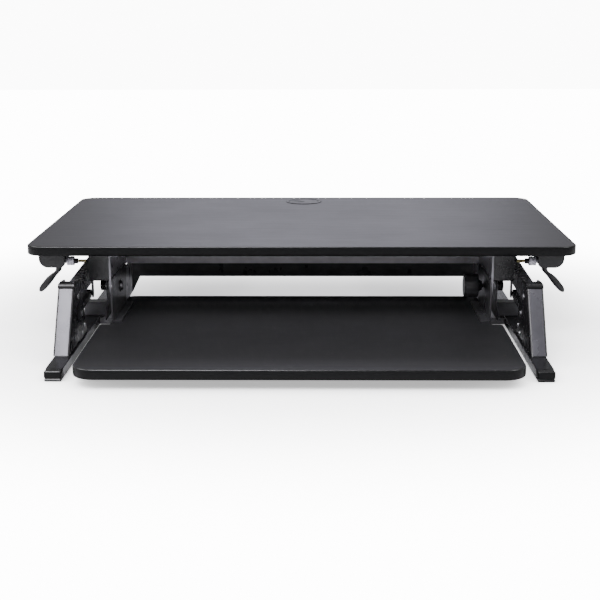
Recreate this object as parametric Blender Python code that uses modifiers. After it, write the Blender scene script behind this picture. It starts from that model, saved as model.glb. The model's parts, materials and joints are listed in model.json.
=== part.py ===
"""Standing desk converter: a worktop and keyboard tray that rise on two pairs of parallel arms.

Metres, +Z up, +Y away from the user, +X to the user's right. The origin is the centre of the
bounding box, on the desk that the converter stands on. The pose is the lowest one.
"""

import math

import bmesh
import bpy
from mathutils import Matrix, Vector

# Driving dimensions
WORKTOP_WIDTH = 0.890
WORKTOP_DEPTH = 0.525
WORKTOP_TOP = 0.155
BOARD_THICKNESS = 0.0155
OVERALL_DEPTH = 0.793
TRAY_WIDTH = 0.652
TRAY_DEPTH = 0.459
TRAY_TOP = 0.030
GAP = 0.0003

REAR = OVERALL_DEPTH / 2
FRONT = -REAR
WORKTOP_FRONT = REAR - WORKTOP_DEPTH
UNDERSIDE = WORKTOP_TOP - BOARD_THICKNESS
FIXING_Z = UNDERSIDE - GAP

# Layers from the middle outwards, as distances from the centre plane
KNOB_LAYER = (0.273, 0.2965)
BRACKET_LAYER = (0.3055, 0.3080)
HANGER_LAYER = (0.3085, 0.3115)
RAIL_INNER = 0.3123
RAIL_OUTER = 0.3450
RAIL_WALL = 0.0025
INNER_BRACKET_LAYER = (0.3280, 0.3300)
FOLLOWER_LAYER = (0.3320, 0.3400)
TOWER_LAYER = (0.3480, 0.3730)
TOWER_WALL = 0.0020
ARM_LAYER = (0.3520, 0.3690)
ARM_WALL = 0.0015
FOOT_LAYER = (0.3450, 0.3710)
SPRING_CENTRE = sum(ARM_LAYER) / 2

# Lift linkage, seen from the side as (Y, Z)
ARM_PIVOT = Vector((-0.190, 0.088))
ARM_LENGTH = 0.390
ARM_HALF_HEIGHT = 0.014
REST_ANGLE = math.radians(2)
LIFT_ANGLE = math.radians(62)
FOLLOWER_OFFSET = Vector((0.1615, -0.018))
FOLLOWER_HALF_HEIGHT = 0.009
ALONG = Vector((math.cos(REST_ANGLE), math.sin(REST_ANGLE)))
ACROSS = Vector((-ALONG.y, ALONG.x))
WORKTOP_PIVOT = ARM_PIVOT + ARM_LENGTH * ALONG
FOLLOWER_PIVOT = ARM_PIVOT + FOLLOWER_OFFSET
FOLLOWER_TOP_PIVOT = WORKTOP_PIVOT + FOLLOWER_OFFSET
ANCHOR_REACH = 0.038
ANCHOR_ANGLE = REST_ANGLE + LIFT_ANGLE / 2 - math.pi / 2
ANCHOR = ARM_PIVOT + ANCHOR_REACH * Vector((math.cos(ANCHOR_ANGLE), math.sin(ANCHOR_ANGLE)))
SPRING_OFFSET = -ANCHOR_REACH * (1 + math.cos(LIFT_ANGLE / 2)) / 2
SPRING_EYE_ALONG = ANCHOR_REACH * math.sin(LIFT_ANGLE / 2)
SPRING_HEAD_ALONG = 0.150
TUBE_ALONG = 0.320
TUBE_RADIUS = 0.010
LUG_RADIUS = 0.0075
STUD_RADIUS = 0.0035
PIN_RADIUS = 0.0048
SMALL_PIN_RADIUS = 0.0026
CYLINDER_RADIUS = 0.0080
ROD_RADIUS = 0.0040

# Keyboard tray tilt axis, and the release levers
TILT_AXIS = Vector((WORKTOP_FRONT + 0.090, 0.072))
LEVER_AXIS = (0.4000, 0.1270)

PART_NAME = "standing_desk_converter"


def clear_scene():
    for obj in list(bpy.data.objects):
        bpy.data.objects.remove(obj, do_unlink=True)


def new_collection(name):
    collection = bpy.data.collections.new(name)
    bpy.context.scene.collection.children.link(collection)
    return collection


clear_scene()
PARTS = new_collection(PART_NAME)
CUTTERS = new_collection("cutters")
CUTTERS.hide_render = True


def material(name, colour, roughness, metallic=0.0):
    made = bpy.data.materials.new(name)
    made.use_nodes = True
    shader = made.node_tree.nodes["Principled BSDF"]
    shader.inputs["Base Color"].default_value = (*colour, 1)
    shader.inputs["Roughness"].default_value = roughness
    shader.inputs["Metallic"].default_value = metallic
    return made


LAMINATE = material("grey_laminate", (0.13, 0.125, 0.135), 0.42)
GREY_PAINT = material("grey_painted_steel", (0.33, 0.32, 0.36), 0.38, 0.3)
BLACK_PAINT = material("black_painted_steel", (0.025, 0.025, 0.027), 0.45, 0.2)
BLACK_PLASTIC = material("black_plastic", (0.02, 0.02, 0.021), 0.5)
RUBBER = material("black_rubber", (0.015, 0.015, 0.015), 0.8)
STEEL = material("zinc_steel", (0.55, 0.55, 0.57), 0.3, 1.0)
BRASS = material("brass", (0.62, 0.45, 0.17), 0.3, 1.0)


# ---------------------------------------------------------------- outlines


def rounded(points, radii, steps=5):
    """The closed outline through points, with each corner turned into an arc of its radius."""
    outline = []
    count = len(points)
    for i, point in enumerate(points):
        corner = Vector(point)
        radius = radii[i] if isinstance(radii, (list, tuple)) else radii
        before = (Vector(points[i - 1]) - corner).normalized()
        after = (Vector(points[(i + 1) % count]) - corner).normalized()
        if radius == 0:
            outline.append(corner)
            continue
        half = before.angle(after) / 2
        centre = corner + (before + after).normalized() * radius / math.sin(half)
        start = corner + before * radius / math.tan(half) - centre
        end = corner + after * radius / math.tan(half) - centre
        turn = start.angle_signed(end)
        for step in range(steps + 1):
            outline.append(centre + Matrix.Rotation(-turn * step / steps, 2) @ start)
    return outline


def circle(centre, radius, steps=20):
    angles = [2 * math.pi * step / steps for step in range(steps)]
    return [Vector(centre) + radius * Vector((math.cos(a), math.sin(a))) for a in angles]


def stadium(start, end, radius, steps=10):
    """The outline of a bar with round ends whose centres are start and end."""
    forward = (Vector(end) - Vector(start)).normalized()
    side = Vector((-forward.y, forward.x))
    outline = []
    for centre, sign in ((Vector(start), -1), (Vector(end), 1)):
        for step in range(steps + 1):
            angle = math.pi * step / steps
            outline.append(centre + sign * radius * (math.sin(angle) * forward - math.cos(angle) * side))
    return outline


def on_arm(along, across=0.0):
    """A side-view point given in the main arm's own directions, from its lower pivot."""
    return ARM_PIVOT + along * ALONG + across * ACROSS


def behind(distance, height):
    """A side-view point given as a distance behind the worktop's front edge."""
    return Vector((WORKTOP_FRONT + distance, height))


# ---------------------------------------------------------------- solids

AXES = {
    "X": Matrix(((0, 0, 1, 0), (1, 0, 0, 0), (0, 1, 0, 0), (0, 0, 0, 1))),
    "Y": Matrix(((1, 0, 0, 0), (0, 0, -1, 0), (0, 1, 0, 0), (0, 0, 0, 1))),
    "Z": Matrix.Identity(4),
}


def mesh_object(name, mesh):
    obj = bpy.data.objects.new(name, mesh)
    CUTTERS.objects.link(obj)
    return obj


def extruded(name, outline, low, high, axis, holes=()):
    """A flat outline with holes, extruded from low to high along an axis of the world.

    The outline is in (Y, Z) for X, in (X, Z) for Y and in (X, Y) for Z.
    """
    curve = bpy.data.curves.new(name, "CURVE")
    curve.dimensions = "2D"
    curve.fill_mode = "BOTH"
    curve.extrude = abs(high - low) / 2
    for loop in (outline, *holes):
        spline = curve.splines.new("POLY")
        spline.points.add(len(loop) - 1)
        for point, place in zip(spline.points, loop):
            point.co = (place[0], place[1], 0, 1)
        spline.use_cyclic_u = True
    drawn = bpy.data.objects.new(name, curve)
    CUTTERS.objects.link(drawn)
    graph = bpy.context.evaluated_depsgraph_get()
    mesh = bpy.data.meshes.new_from_object(drawn.evaluated_get(graph))
    bpy.data.objects.remove(drawn)
    shape = bmesh.new()
    shape.from_mesh(mesh)
    bmesh.ops.remove_doubles(shape, verts=shape.verts, dist=1e-6)
    middle = (low + high) / 2
    shift = Matrix.Translation((0, 0, -middle if axis == "Y" else middle))
    shape.transform(AXES[axis] @ shift)
    bmesh.ops.recalc_face_normals(shape, faces=shape.faces)
    shape.to_mesh(mesh)
    shape.free()
    return mesh_object(name, mesh)


def cylinder(name, radius, start, end, segments=20, end_radius=None):
    start = Vector(start)
    end = Vector(end)
    shape = bmesh.new()
    tip = radius if end_radius is None else end_radius
    length = (end - start).length
    turn = (end - start).to_track_quat("Z", "Y").to_matrix().to_4x4()
    bmesh.ops.create_cone(
        shape, cap_ends=True, segments=segments, radius1=radius, radius2=tip, depth=length,
        matrix=Matrix.Translation((start + end) / 2) @ turn,
    )
    mesh = bpy.data.meshes.new(name)
    shape.to_mesh(mesh)
    shape.free()
    obj = mesh_object(name, mesh)
    mesh.shade_smooth()
    mesh.set_sharp_from_angle(angle=math.radians(35))
    return obj


def box(name, low, high, bevel=0.0):
    low = Vector(low)
    high = Vector(high)
    shape = bmesh.new()
    bmesh.ops.create_cube(shape, size=1)
    bmesh.ops.scale(shape, vec=high - low, verts=shape.verts)
    bmesh.ops.translate(shape, vec=(low + high) / 2, verts=shape.verts)
    mesh = bpy.data.meshes.new(name)
    shape.to_mesh(mesh)
    shape.free()
    obj = mesh_object(name, mesh)
    if bevel:
        soften(obj, bevel)
    return obj


def soften(obj, width, segments=2, limit=40):
    bevel = obj.modifiers.new("soft_edges", "BEVEL")
    bevel.width = width
    bevel.segments = segments
    bevel.limit_method = "ANGLE"
    bevel.angle_limit = math.radians(limit)
    return obj


def combine(obj, others, operation):
    for other in others:
        boolean = obj.modifiers.new(operation.lower(), "BOOLEAN")
        boolean.operation = operation
        boolean.object = other
        other.hide_render = True
        other.display_type = "WIRE"
    return obj


def joined(obj, *others):
    return combine(obj, others, "UNION")


def cut(obj, *others):
    return combine(obj, others, "DIFFERENCE")


def node(obj, finish, parent=None, origin=None):
    """Makes obj a part: its origin moves to its pivot, and it follows its parent empty."""
    if origin is None and parent is not None:
        origin = parent.matrix_world.translation
    if origin is not None:
        obj.data.transform(Matrix.Translation(-Vector(origin)))
        obj.location = origin
    obj.data.materials.append(finish)
    CUTTERS.objects.unlink(obj)
    PARTS.objects.link(obj)
    if parent is not None:
        obj.parent = parent
        obj.matrix_parent_inverse = parent.matrix_world.inverted()
    return obj


def pivot(name, location, parent=None):
    empty = bpy.data.objects.new(name, None)
    empty.empty_display_size = 0.03
    empty.location = location
    PARTS.objects.link(empty)
    if parent is not None:
        empty.parent = parent
        empty.matrix_parent_inverse = Matrix.Translation(-parent.matrix_world.translation)
    bpy.context.view_layer.update()
    return empty


def span(side, layer):
    """Low and high X of a layer on the given side, -1 for left and 1 for right."""
    return sorted(side * edge for edge in layer)


def pin(name, side, start, end, centre, radius, head=0.0, head_length=0.002):
    """A cross pin between two distances from the centre plane, with its head just beyond start."""
    y, z = centre
    toward = math.copysign(1, end - start)
    shank_start = start - toward * head_length / 2 if head else start
    made = cylinder(name, radius, (side * shank_start, y, z), (side * end, y, z))
    if head:
        face = start - toward * head_length
        joined(made, cylinder(name + "_head", head, (side * face, y, z), (side * start, y, z)))
    return made


SIDES = ((-1, "left"), (1, "right"))

LIFT = pivot("lift_axis", (0, *ARM_PIVOT))
WORKTOP = pivot("worktop_axis", (0, *WORKTOP_PIVOT), LIFT)
FOLLOWER = pivot("follower_axis", (0, *FOLLOWER_PIVOT))
TILT = pivot("tray_tilt_axis", (0, *TILT_AXIS), WORKTOP)


# ---------------------------------------------------------------- base

FOOT_FRONT = WORKTOP_FRONT - 0.228
FOOT_REAR = WORKTOP_FRONT + 0.345
FOOT_BOTTOM = 0.0014
FOOT_TOP = 0.0160
FOOT_WALL = 0.0015
CAP_LENGTH = 0.030
PLATE_FRONT = WORKTOP_FRONT + 0.100
PLATE_REAR = WORKTOP_FRONT + 0.277
PLATE_BOTTOM = 0.0015
PLATE_THICKNESS = 0.0020
LIP_TOP = 0.0125


def base_plate():
    half = FOOT_LAYER[0] - GAP
    thick = PLATE_THICKNESS
    plate = box("base_plate", (-half, PLATE_FRONT, PLATE_BOTTOM), (half, PLATE_REAR, PLATE_BOTTOM + thick))
    lip = box("lip", (-half, PLATE_FRONT, PLATE_BOTTOM), (half, PLATE_FRONT + thick, LIP_TOP))
    node(joined(plate, lip), BLACK_PAINT)


def foot(side, label):
    low, high = span(side, FOOT_LAYER)
    front = FOOT_FRONT + CAP_LENGTH * 0.5
    rear = FOOT_REAR - CAP_LENGTH * 0.5
    tube = box("foot_tube_" + label, (low, front, FOOT_BOTTOM), (high, rear, FOOT_TOP), 0.0008)
    hollow = box(
        "foot_hollow", (low + FOOT_WALL, front - 0.01, FOOT_BOTTOM + FOOT_WALL),
        (high - FOOT_WALL, rear + 0.01, FOOT_TOP - FOOT_WALL),
    )
    node(cut(tube, hollow), BLACK_PAINT)
    for end, face, inward in (("front", FOOT_FRONT, 1), ("rear", FOOT_REAR, -1)):
        foot_cap(low, high, face, inward, f"foot_{end}_cap_{label}")


def foot_cap(low, high, face, inward, name):
    """A plastic end cap that plugs the tube and wraps under it as the foot that stands on the desk."""
    inner = face + inward * (CAP_LENGTH * 0.5 - GAP)
    nose = sorted((face, inner))
    cap = box(name, (low, nose[0], 0.0), (high, nose[1], FOOT_TOP), 0.0015)
    sole_end = face + inward * CAP_LENGTH
    sole = sorted((face + inward * 0.006, sole_end))
    pad = box("sole", (low + 0.002, sole[0], 0.0), (high - 0.002, sole[1], FOOT_BOTTOM - GAP), 0.0003)
    plug_from = face + inward * 0.006
    plug_to = face + inward * (CAP_LENGTH * 0.5 + 0.009)
    plug = sorted((plug_from, plug_to))
    inset = FOOT_WALL + GAP
    stub = box(
        "plug", (low + inset, plug[0], FOOT_BOTTOM + inset), (high - inset, plug[1], FOOT_TOP - inset)
    )
    node(joined(cap, pad, stub), BLACK_PLASTIC)


# ---------------------------------------------------------------- towers

TOWER_OUTLINE = (
    behind(-0.151, FOOT_TOP + GAP), behind(-0.092, 0.108), behind(-0.045, 0.108),
    behind(0.002, FOOT_TOP + GAP),
)
CAP_SLOT_FRONT = -0.071


def tower(side, label):
    low, high = span(side, TOWER_LAYER)
    radii = [0.0005, 0.003, 0.003, 0.0005]
    through = [circle(ARM_PIVOT, PIN_RADIUS + GAP), circle(ANCHOR, SMALL_PIN_RADIUS + GAP, 12)]
    shell = extruded("tower_" + label, rounded(TOWER_OUTLINE, radii, 3), low, high, "X", through)
    wall = TOWER_WALL / math.sin((TOWER_OUTLINE[1] - TOWER_OUTLINE[0]).angle(Vector((1, 0))))
    step = Vector((wall, 0))
    lean = (TOWER_OUTLINE[1] - TOWER_OUTLINE[0]) * 0.2
    room = [
        TOWER_OUTLINE[0] + step - lean, TOWER_OUTLINE[1] + step + lean,
        behind(0.05, 0.13), behind(0.05, 0.0),
    ]
    hollow = extruded("tower_hollow", room, low + TOWER_WALL, high - TOWER_WALL, "X")
    node(cut(shell, hollow), GREY_PAINT)


def tower_cap(side, label):
    low, high = span(side, TOWER_LAYER)
    base = 0.108 + GAP
    profile = rounded(
        [behind(-0.0945, base), behind(-0.0925, base + 0.0036), behind(-0.047, base + 0.0036),
         behind(-0.045, base)], [0.0004, 0.002, 0.002, 0.0004], 3,
    )
    cap = extruded("tower_cap_" + label, profile, low, high, "X")
    slot = box(
        "arm_slot", (low + 0.0028, WORKTOP_FRONT + CAP_SLOT_FRONT, base - 0.002),
        (high - 0.0028, WORKTOP_FRONT, base + 0.01),
    )
    inset = TOWER_WALL + GAP
    plug = box(
        "cap_plug", (low + inset, WORKTOP_FRONT - 0.0885, 0.098),
        (high - inset, WORKTOP_FRONT - 0.0785, base + 0.001),
    )
    middle = (low + high) / 2
    screw = cylinder(
        "cap_button", 0.0035, (middle, WORKTOP_FRONT - 0.082, base + 0.002),
        (middle, WORKTOP_FRONT - 0.082, base + 0.0052), 16, 0.0022,
    )
    node(joined(cut(cap, slot), plug, screw), BLACK_PLASTIC)


FOOT_REST = FOOT_TOP + GAP
BRACKET_OUTLINE = (
    behind(0.058, FOOT_REST), behind(0.090, 0.040), behind(0.090, 0.084), behind(0.118, 0.084),
    behind(0.152, FOOT_REST),
)


def inner_bracket(side, label):
    """A block on the foot that carries an upright plate for the follower's lower pivot."""
    low, high = span(side, INNER_BRACKET_LAYER)
    outline = rounded(BRACKET_OUTLINE, [0.001, 0.006, 0.008, 0.008, 0.001], 4)
    hole = circle(FOLLOWER_PIVOT, PIN_RADIUS + GAP)
    plate = extruded("inner_bracket_" + label, outline, low, high, "X", [hole])
    reach = span(side, (INNER_BRACKET_LAYER[0] + 0.0005, FOOT_LAYER[1]))
    block = box(
        "bracket_block", (reach[0], WORKTOP_FRONT + 0.100, FOOT_REST),
        (reach[1], WORKTOP_FRONT + 0.126, 0.0395), 0.001,
    )
    node(joined(plate, block), GREY_PAINT)


def base_pins(side, label):
    lift_start = TOWER_LAYER[1] + GAP
    lift_end = TOWER_LAYER[0] - 0.001
    node(pin("lift_pin_" + label, side, lift_start, lift_end, ARM_PIVOT, PIN_RADIUS, 0.0075), STEEL)
    anchor_start = TOWER_LAYER[0] - GAP
    anchor_end = TOWER_LAYER[1] - 0.0005
    anchor = pin(
        "spring_anchor_pin_" + label, side, anchor_start, anchor_end, ANCHOR, SMALL_PIN_RADIUS, 0.0045, 0.0012
    )
    node(anchor, STEEL)
    inner = INNER_BRACKET_LAYER[0] - GAP
    outer = FOLLOWER_LAYER[1] + 0.001
    swivel = pin("follower_pin_" + label, side, inner, outer, FOLLOWER_PIVOT, PIN_RADIUS, 0.0075, 0.0012)
    node(swivel, STEEL)


# ---------------------------------------------------------------- lift arms


def main_arm(side, label):
    """An inverted channel from the tower to the worktop frame, with a lug for the gas spring's head."""
    low, high = span(side, ARM_LAYER)
    start = on_arm(0)
    end = on_arm(ARM_LENGTH)
    holes = [circle(start, PIN_RADIUS + GAP), circle(end, PIN_RADIUS + GAP)]
    bar = extruded("main_arm_" + label, stadium(start, end, ARM_HALF_HEIGHT), low, high, "X", holes)
    head = on_arm(SPRING_HEAD_ALONG, SPRING_OFFSET)
    top = on_arm(SPRING_HEAD_ALONG, 0)
    lug = extruded(
        "spring_lug", stadium(head, top, LUG_RADIUS, 6), low, high, "X",
        [circle(head, STUD_RADIUS + GAP, 14)],
    )
    room = [
        on_arm(-0.05, ARM_HALF_HEIGHT - ARM_WALL), on_arm(-0.05, -0.08),
        on_arm(ARM_LENGTH + 0.05, -0.08), on_arm(ARM_LENGTH + 0.05, ARM_HALF_HEIGHT - ARM_WALL),
    ]
    hollow = extruded("arm_hollow", room, low + ARM_WALL, high - ARM_WALL, "X")
    node(cut(joined(bar, lug), hollow), BLACK_PAINT, LIFT)


def arm_cross_tube():
    y, z = on_arm(TUBE_ALONG)
    half = ARM_LAYER[0] - GAP
    tube = cylinder("arm_cross_tube", TUBE_RADIUS, (-half, y, z), (half, y, z), 24)
    bore = cylinder("tube_bore", TUBE_RADIUS - 0.0015, (-half - 0.01, y, z), (half + 0.01, y, z), 24)
    node(cut(tube, bore), BLACK_PAINT, LIFT)


def gas_spring(side, label):
    x = side * SPRING_CENTRE

    def at(along):
        return (x, *on_arm(along, SPRING_OFFSET))

    head = at(SPRING_HEAD_ALONG)
    body = cylinder("gas_spring_cylinder_" + label, CYLINDER_RADIUS, at(0.064), at(0.136), 20)
    collar = cylinder("collar", CYLINDER_RADIUS - 0.0012, at(0.058), at(0.066), 20)
    neck = cylinder("neck", 0.0038, at(0.132), at(0.147), 14)
    half_eye = 0.0045
    eye = cylinder("head_eye", 0.0070, (x - half_eye, *head[1:]), (x + half_eye, *head[1:]), 16)
    half_stud = (ARM_LAYER[1] - ARM_LAYER[0]) / 2 + 0.0006
    stud = cylinder("head_stud", STUD_RADIUS, (x - half_stud, *head[1:]), (x + half_stud, *head[1:]), 14)
    bore = cylinder("rod_bore", ROD_RADIUS + GAP, at(0.045), at(0.129), 16)
    node(cut(joined(body, collar, neck, eye, stud), bore), BLACK_PAINT, LIFT)

    eye_y, eye_z = on_arm(SPRING_EYE_ALONG, SPRING_OFFSET)
    rod = cylinder("gas_spring_rod_" + label, ROD_RADIUS, at(SPRING_EYE_ALONG + 0.008), at(0.122), 16)
    ring = cylinder("rod_eye", 0.0092, (x - 0.0045, eye_y, eye_z), (x + 0.0045, eye_y, eye_z), 20)
    hole = cylinder("rod_hole", 0.0064, (x - 0.02, eye_y, eye_z), (x + 0.02, eye_y, eye_z), 18)
    node(cut(joined(rod, ring), hole), STEEL, LIFT)


def follower_arm(side, label):
    low, high = span(side, FOLLOWER_LAYER)
    ends = (FOLLOWER_PIVOT, FOLLOWER_TOP_PIVOT)
    holes = [circle(end, PIN_RADIUS + GAP) for end in ends]
    outline = stadium(*ends, FOLLOWER_HALF_HEIGHT)
    bar = extruded("follower_arm_" + label, outline, low, high, "X", holes)
    node(bar, BLACK_PAINT, FOLLOWER)


# ---------------------------------------------------------------- worktop frame

RAIL_OUTLINE = (
    behind(0.020, 0.0945), behind(0.215, 0.0945), behind(0.232, 0.1180), behind(0.2965, 0.1180),
    behind(0.3050, 0.0880), behind(0.4500, 0.0700), behind(0.5050, 0.0700), behind(0.5050, FIXING_Z),
    behind(0.020, FIXING_Z),
)


def frame_rail(side, label):
    """An inverted channel under the worktop, closed in front, with the arms pinned at its rear."""
    low, high = span(side, (RAIL_INNER, RAIL_OUTER))
    holes = [circle(WORKTOP_PIVOT, PIN_RADIUS + GAP), circle(FOLLOWER_TOP_PIVOT, PIN_RADIUS + GAP)]
    radii = [0.002, 0.008, 0.008, 0.010, 0.006, 0.010, 0.006, 0.0, 0.0]
    rail = extruded("frame_rail_" + label, rounded(RAIL_OUTLINE, radii, 3), low, high, "X", holes)
    room = [
        behind(0.020 + RAIL_WALL, FIXING_Z - RAIL_WALL), behind(0.020 + RAIL_WALL, 0.0), behind(0.52, 0.0),
        behind(0.52, FIXING_Z - RAIL_WALL),
    ]
    hollow = extruded("rail_hollow", room, low + RAIL_WALL, high - RAIL_WALL, "X")
    node(cut(rail, hollow), GREY_PAINT, WORKTOP)


def channel(name, start, depth, bottom, top, wall):
    """A bar between the two rails and the room that opens it to the rear."""
    half = RAIL_INNER - GAP
    beam = box(name, (-half, start, bottom), (half, start + depth, top))
    room = box(
        "channel_room", (-half - 0.01, start + wall, bottom + wall),
        (half + 0.01, start + depth + 0.01, top - wall),
    )
    return beam, room


def front_crossbar():
    beam, room = channel("front_crossbar", WORKTOP_FRONT + 0.190, 0.024, 0.0890, FIXING_Z, 0.0020)
    node(cut(beam, room), GREY_PAINT, WORKTOP)


def rear_beam():
    """The channel behind the tray, on end plates that hang from the rails and carry a gusset below."""
    start = WORKTOP_FRONT + 0.325
    bottom = 0.0360
    depth = 0.018
    half = RAIL_INNER - GAP
    tip = FOLLOWER_LAYER[0] - 0.0010
    beam, room = channel("rear_beam", start, depth, bottom, 0.0800, 0.0020)
    ends = []
    for side in (-1, 1):
        corners = [(side * 0.296, bottom), (side * 0.3065, bottom), (side * 0.3210, 0.0060),
                   (side * tip, 0.0060), (side * tip, 0.0680), (side * 0.296, 0.0680)]
        ends.append(extruded("gusset", corners, start, start + 0.0020, "Y"))
        low, high = span(side, (half - 0.0020, half))
        ends.append(box("end_plate", (low, start, bottom), (high, start + depth, 0.1120)))
    node(joined(cut(beam, room), *ends), BLACK_PAINT, WORKTOP)


def worktop_pins(side, label):
    node(pin("worktop_pin_" + label, side, RAIL_OUTER - RAIL_WALL - GAP, ARM_LAYER[1] + 0.0008,
             WORKTOP_PIVOT, PIN_RADIUS, 0.0075), STEEL, WORKTOP)
    node(pin("follower_top_pin_" + label, side, RAIL_OUTER + GAP, RAIL_INNER + 0.0002,
             FOLLOWER_TOP_PIVOT, PIN_RADIUS, 0.0075), STEEL, WORKTOP)


# ---------------------------------------------------------------- worktop

BOARD_CORNER = 0.030
GROMMET_Y = REAR - 0.056
GROMMET_RADIUS = 0.035
RIM_HEIGHT = 0.0012
SLOT_DEPTH = 0.014


def worktop_board():
    half = WORKTOP_WIDTH / 2
    corners = [(-half, WORKTOP_FRONT), (half, WORKTOP_FRONT), (half, REAR), (-half, REAR)]
    hole = circle((0, GROMMET_Y), GROMMET_RADIUS + GAP, 32)
    board = extruded(
        "worktop_board", rounded(corners, BOARD_CORNER, 8), UNDERSIDE, WORKTOP_TOP, "Z", [hole]
    )
    soften(board, 0.0012)
    node(board, LAMINATE, WORKTOP)


def grommet():
    centre = (0, GROMMET_Y)
    ring = extruded(
        "grommet_ring", circle(centre, GROMMET_RADIUS, 32), UNDERSIDE, WORKTOP_TOP + RIM_HEIGHT,
        "Z", [circle(centre, 0.0282, 32)],
    )
    node(ring, BLACK_PLASTIC, WORKTOP)
    cap_top = WORKTOP_TOP + RIM_HEIGHT
    cap = extruded("grommet_cap", circle(centre, 0.0279, 32), cap_top - 0.003, cap_top, "Z")
    slot = stadium((-0.040, GROMMET_Y - 0.003), (-0.012, GROMMET_Y - 0.003), 0.007, 6)
    cable_slot = extruded("cable_slot", slot, cap_top - 0.01, cap_top + 0.01, "Z")
    node(cut(cap, cable_slot), BLACK_PLASTIC, WORKTOP, (0, GROMMET_Y, cap_top))


# ---------------------------------------------------------------- release levers

HOUSING_LAYER = (0.3820, 0.4240)
HOUSING_DEPTH = (0.010, 0.052)
HOUSING_BOTTOM = 0.1185
LEVER_DEPTH = (0.018, 0.044)


def lever_housing(side, label):
    inner, outer = HOUSING_LAYER
    corners = [(side * inner, HOUSING_BOTTOM), (side * outer, HOUSING_BOTTOM),
               (side * outer, FIXING_Z), (side * inner, FIXING_Z)]
    front = WORKTOP_FRONT + HOUSING_DEPTH[0]
    rear = WORKTOP_FRONT + HOUSING_DEPTH[1]
    shell = extruded(
        "lever_housing_" + label, rounded(corners, [0.007, 0.013, 0.001, 0.001], 5), front, rear, "Y",
    )
    low, high = span(side, (0.3925, 0.4185))
    pocket = box(
        "lever_pocket", (low, WORKTOP_FRONT + LEVER_DEPTH[0] - GAP, 0.10),
        (high, WORKTOP_FRONT + LEVER_DEPTH[1] + GAP, FIXING_Z - 0.002),
    )
    x = side * LEVER_AXIS[0]
    bore = cylinder(
        "lever_bore", 0.0016 + GAP, (x, front - 0.01, LEVER_AXIS[1]), (x, rear + 0.01, LEVER_AXIS[1]), 12
    )
    node(cut(shell, pocket, bore), BLACK_PLASTIC, WORKTOP)
    axle = cylinder(
        "lever_pin_" + label, 0.0016, (x, front + 0.001, LEVER_AXIS[1]), (x, rear - 0.001, LEVER_AXIS[1]), 12
    )
    node(axle, STEEL, WORKTOP)


def release_lever(side, label, hinge):
    """A squeeze lever: a barrel on its pin, a narrow neck and a leaf-shaped paddle."""
    front = WORKTOP_FRONT + LEVER_DEPTH[0]
    rear = WORKTOP_FRONT + LEVER_DEPTH[1]
    x, z = LEVER_AXIS
    barrel = [(side * u, v) for u, v in circle((x, z), 0.0055, 16)]
    blade = [
        (x - 0.0032, z - 0.0010), (x + 0.0032, z - 0.0010), (x + 0.0016, z - 0.0190),
        (x + 0.0085, z - 0.0235), (x + 0.0205, z - 0.0335), (x + 0.0294, z - 0.0460),
        (x + 0.0268, z - 0.0530), (x + 0.0175, z - 0.0465), (x + 0.0090, z - 0.0355),
        (x + 0.0010, z - 0.0250), (x - 0.0016, z - 0.0190),
    ]
    radii = [0.0, 0.0, 0.005, 0.006, 0.020, 0.0030, 0.0030, 0.020, 0.030, 0.006, 0.010]
    outline = [(side * u, v) for u, v in rounded(blade, radii, 3)]
    arm = extruded("lever_blade", outline, front + 0.003, rear - 0.003, "Y")
    hub = extruded("release_lever_" + label, barrel, front, rear, "Y")
    bore = cylinder(
        "hub_bore", 0.0016 + GAP, (side * x, front - 0.01, z), (side * x, rear + 0.01, z), 12
    )
    node(cut(joined(hub, arm), bore), BLACK_PLASTIC, hinge)


SLEEVE_Y = WORKTOP_FRONT + 0.031
SLEEVE_Z = 0.1260


def cable_fittings(side, label):
    def at(reach):
        return (side * reach, SLEEVE_Y, SLEEVE_Z)

    inner = HOUSING_LAYER[0] - GAP
    node(cut(cylinder("cable_sleeve_" + label, 0.0062, at(inner), at(0.3728), 20),
             cylinder("sleeve_bore", 0.0030, at(inner + 0.01), at(0.36), 16)), GREY_PAINT, WORKTOP)
    node(cut(cylinder("adjuster_nut_" + label, 0.0048, at(0.3725), at(0.3670), 6),
             cylinder("nut_bore", 0.0030, at(0.38), at(0.36), 16)), BLACK_PLASTIC, WORKTOP)
    node(cut(cylinder("brass_adjuster_" + label, 0.0027, at(0.3780), at(0.3505), 16),
             cylinder("adjuster_bore", 0.0017, at(0.39), at(0.34), 12)), BRASS, WORKTOP)


def bezier(a, b, c, d, share):
    rest = 1 - share
    return (a * rest ** 3 + 3 * b * rest ** 2 * share + 3 * c * rest * share ** 2 + d * share ** 3)


def release_cable(side, label):
    """The outer cable from the adjuster, along the rail, to the rear end of the main arm."""
    y_end = WORKTOP_PIVOT.x - 0.020
    route = [
        [Vector((0.3501, SLEEVE_Y, SLEEVE_Z)), Vector((0.3466, SLEEVE_Y, SLEEVE_Z)),
         Vector((0.3495, SLEEVE_Y + 0.012, 0.1275)), Vector((0.3525, SLEEVE_Y + 0.040, 0.1290))],
        [Vector((0.3525, SLEEVE_Y + 0.040, 0.1290)), Vector((0.3555, SLEEVE_Y + 0.100, 0.1315)),
         Vector((0.3555, y_end - 0.080, 0.1320)), Vector((0.3555, y_end, 0.1270))],
    ]
    points = []
    for leg, count in zip(route, (8, 22)):
        steps = range(count + 1) if leg is route[-1] else range(count)
        points += [bezier(*leg, step / count) for step in steps]
    curve = bpy.data.curves.new("release_cable_" + label, "CURVE")
    curve.dimensions = "3D"
    curve.bevel_depth = 0.0014
    curve.bevel_resolution = 2
    curve.use_fill_caps = True
    spline = curve.splines.new("POLY")
    spline.points.add(len(points) - 1)
    for target, point in zip(spline.points, points):
        target.co = (side * point.x, point.y, point.z, 1)
    cable = bpy.data.objects.new("release_cable_" + label, curve)
    CUTTERS.objects.link(cable)
    node(cable, RUBBER, WORKTOP, (0, 0, 0))


# ---------------------------------------------------------------- keyboard tray

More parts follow.
